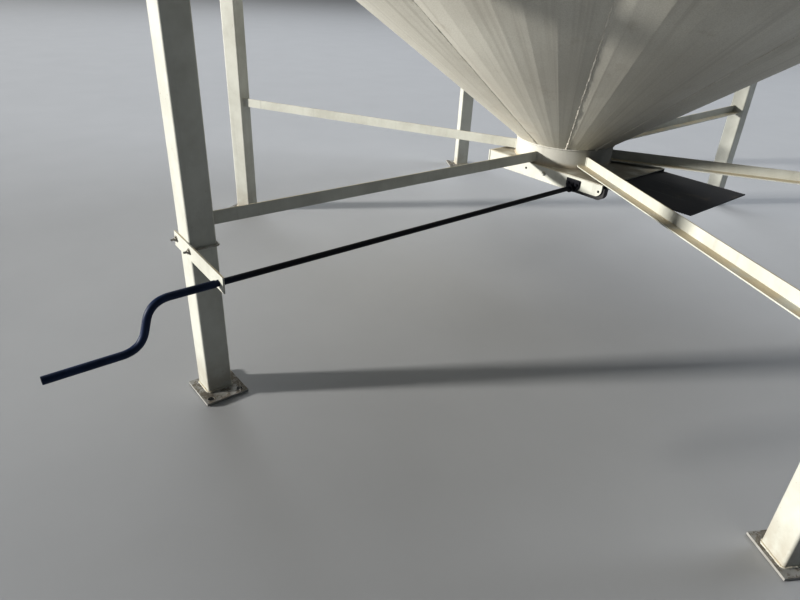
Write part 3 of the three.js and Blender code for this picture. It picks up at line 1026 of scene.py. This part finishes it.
teeth, lip = bmesh.new(), bmesh.new()
for side in (-1, 1):
    tooth = shaft_place.y + tooth_pitch / 2
    while tooth - tooth_pitch > rack_span[0]:
        tooth -= tooth_pitch
    while tooth + tooth_pitch / 2 < rack_span[1]:
        middle = side * rack_offset
        verts = add_block(
            teeth,
            (middle - rack_width / 2, tooth - tooth_half, rack_bottom - tooth_depth),
            (middle + rack_width / 2, tooth + tooth_half, rack_bottom + tooth_sunk),
        )
        for vert in verts:
            if vert.co.z < rack_bottom - tooth_depth / 2:
                vert.co.y = tooth + (vert.co.y - tooth) * tooth_taper
        tooth += tooth_pitch
half = slide_high.x - silo_axis.x
front = slide_end - lip_back
edge = stepped([(-half, front, lip_height), (half, front, lip_height)], lip_step)
add_swept(lip, edge, lip_radius)
for x in (-half + hem_in, half - hem_in):
    ends = [Vector((x, y, lip_height)) for y in (hem_start, slide_end - hem_back)]
    add_swept(lip, ends, hem_radius, rings=2)
for name, part, finish, slot in (
    ("rack_teeth", teeth, slide_steel, "slide_steel"),
    ("slide_lip", lip, slide_steel, "slide_steel"),
):
    placed(part, station(1))
    piece = new_object(name, part, finish)
    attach(piece, "slide")

# Crank rod: a straight round bar of 22 mm under the gate with a pinion below each rack. The
# pinions have twelve teeth. Everything on the crank is painted blue-black and worn, and the
# handle's brighter blue is a painted sky sheen.
pinion_width = 0.026
pinion_tooth = (0.0034, 0.0188, 0.0262)
sheen_until, black_from = -2.0, -1.7

crank_paint, wires = new_material("crank_paint")
place = wires.place()
clouds = place.clouds(13, 6, 0.6)
worn = place.clouds(48, 6, 0.7).between(0.62, 0.70)
# Blue-black paint is on the whole crank. The brighter blue on the handle, out beyond X -2.0, is a
# painted sky sheen, and the rod under the silo is near-black.
outside = 1 - place.part("X").between(sheen_until, black_from)
sheen_blue = wires.tint(clouds.between(0.35, 0.7), (0.008, 0.019, 0.055), (0.015, 0.031, 0.085))
crank_colour = wires.tint(outside, (0.004, 0.005, 0.010), sheen_blue)
crank_colour = wires.tint(worn * 0.35, crank_colour, (0.07, 0.05, 0.04))
set_surface(
    crank_paint,
    Base_Color=crank_colour,
    Roughness=0.34 + clouds * 0.28 + worn * 0.2,
    Specular_IOR_Level=0.18,
    Normal=wires.bump(clouds - worn * 0.4, 0.001, 0.4),
)
for name in ("crank_rod", "shaft_bearing"):
    nodes[name].material_slots[0].material = crank_paint

teeth = bmesh.new()
tooth_side, tooth_root, tooth_tip = pinion_tooth
for side in (-1, 1):
    for step in range(pinion_teeth):
        verts = add_block(
            teeth,
            (side * rack_offset - pinion_width / 2, -tooth_side, tooth_root),
            (side * rack_offset + pinion_width / 2, tooth_side, tooth_tip),
        )
        for vert in verts:
            if vert.co.z > (tooth_root + tooth_tip) / 2:
                vert.co.y *= tooth_taper
        turn = Matrix.Rotation(step * 2 * math.pi / pinion_teeth, 4, "X")
        bmesh.ops.transform(teeth, matrix=Matrix.Translation(shaft_place) @ turn, verts=verts)
placed(teeth, station(1))
piece = new_object("pinion_teeth", teeth, crank_paint)
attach(piece, "crank")

# Shaft bearing: the black plate with its boss on the near rail. Two bolts hold it, and a
# grease nipple stands on the boss.
bearing_face = 0.2866
bearing_bolts = ((0.268, 0.6275), (0.315, 0.6265))
bearing_bolt_size = 0.0082
nipple_foot = Vector((0.298, 0.290, 0.6255))
nipple_neck = nipple_foot + Vector((0, 0, 0.006))
nipple_tip = nipple_foot + Vector((0, 0, 0.013))
neck_radius = 0.0045
tip_radii = (0.003, 0.002)
parts = bmesh.new()
for y, z in bearing_bolts:
    add_bolt(parts, (bearing_face, y, z), (1, 0, 0), bearing_bolt_size)
add_bar(parts, nipple_foot, nipple_neck, neck_radius, 6)
add_bar(parts, nipple_neck, nipple_tip, tip_radii[0], 12, tip_radii[1])
placed(parts, station(1))
piece = new_object("bearing_bolts", parts, crank_paint)
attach(piece, "silo")

# Crank handle: a pipe of 26 mm pushed over the end of the rod and bent twice, open at the
# grip's end. It is one smooth sweep with a real bore.
pipe_start = 2.140
pipe_end = 2.675
pipe_radius = 0.013
pipe_wall = 0.0026
upper_corner = 2.349
lower_corner = 2.394
pipe_throw = 0.155
bend_length = 0.064
bend_steps = 14


def rounded(points, turn, steps):
    """Points of a path whose inner corners are rounded over the given length."""
    points = [Vector(point) for point in points]
    path = [points[0]]
    for before, corner, after in zip(points, points[1:], points[2:]):
        back = corner + (before - corner).normalized() * turn
        ahead = corner + (after - corner).normalized() * turn
        for step in range(steps + 1):
            share = step / steps
            path.append(back.lerp(corner, share).lerp(corner.lerp(ahead, share), share))
    return path + [points[-1]]


def add_pipe(sheet, points, radius, wall):
    """Pipe with a bore: two sweeps along one path, joined at both open ends."""
    for shell in (radius, radius - wall):
        add_swept(sheet, points, shell, rings=5, caps=False)
    open_edges = [edge for edge in sheet.edges if edge.is_boundary]
    for end in (points[0], points[-1]):
        rims = [edge for edge in open_edges if (edge.verts[0].co - end).length < 2 * radius]
        bmesh.ops.bridge_loops(sheet, edges=rims)


pipe = bmesh.new()
pipe_path = rounded([
    (pipe_start, 0, 0), (upper_corner, 0, 0), (lower_corner, 0, -pipe_throw),
    (pipe_end, 0, -pipe_throw),
], bend_length, bend_steps)
add_pipe(pipe, pipe_path, pipe_radius, pipe_wall)
placed(pipe, station(1) @ Matrix.Translation(shaft_place))
handle = new_object("handle_pipe", pipe, crank_paint)
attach(handle, "crank")
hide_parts("crank_handle")

# Bracket: a flat painted bar across the outer face of leg 1 that carries the rod's end. The
# square U-bolt around the leg holds it, with a nut and a washer on each arm.
bracket_front = 2.1283
bracket_height = 0.630
bracket_tilt = math.tan(math.radians(3.5))
nut_radius = 0.0092
bolt_radius = 0.004
bolt_lift = 0.0025
bolt_corner = 0.009
corner_steps = 8
bolt_end = 2.148
bolt_back = 2.0177
bolt_sides = (-0.0565, 0.0565)
washer_thick = 0.0014
nut_thick = 0.0052
nut_crown = 0.0014
thread_rings = 9
thread_pitch = 0.0012
thread_width = 0.0007
nodes["crank_bracket"].material_slots[0].material = cream_paint

bolt, nuts = bmesh.new(), bmesh.new()
arms = [(y, bracket_height - y * bracket_tilt + bolt_lift) for y in bolt_sides]
loop = [
    (bolt_end, *arms[0]), (bolt_back, *arms[0]), (bolt_back, *arms[1]), (bolt_end, *arms[1]),
]
add_swept(bolt, rounded(loop, bolt_corner, corner_steps), bolt_radius)
for y, z in arms:
    washer = Vector((bracket_front, y, z))
    seat = washer + Vector((washer_thick, 0, 0))
    crown = seat + Vector((nut_thick, 0, 0))
    top = crown + Vector((nut_crown, 0, 0))
    add_bar(nuts, washer, seat, nut_radius * 1.35, 20)
    add_bar(nuts, seat, crown, nut_radius, 6)
    add_bar(nuts, crown, top, nut_radius * 0.97, 6, nut_radius * 0.8)
for step in range(thread_rings):
    for y, z in arms:
        start = Vector((bolt_end - thread_pitch * step, y, z))
        end = start - Vector((thread_width, 0, 0))
        add_bar(nuts, end, start, bolt_radius * 1.09, 12, bolt_radius * 0.98)
for name, part in (("u_bolt", bolt), ("u_bolt_nuts", nuts)):
    placed(part, station(1))
    piece = new_object(name, part, zinc)
    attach(piece, "silo")
    if name == "u_bolt":
        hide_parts("bracket_u_bolt")

low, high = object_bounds()
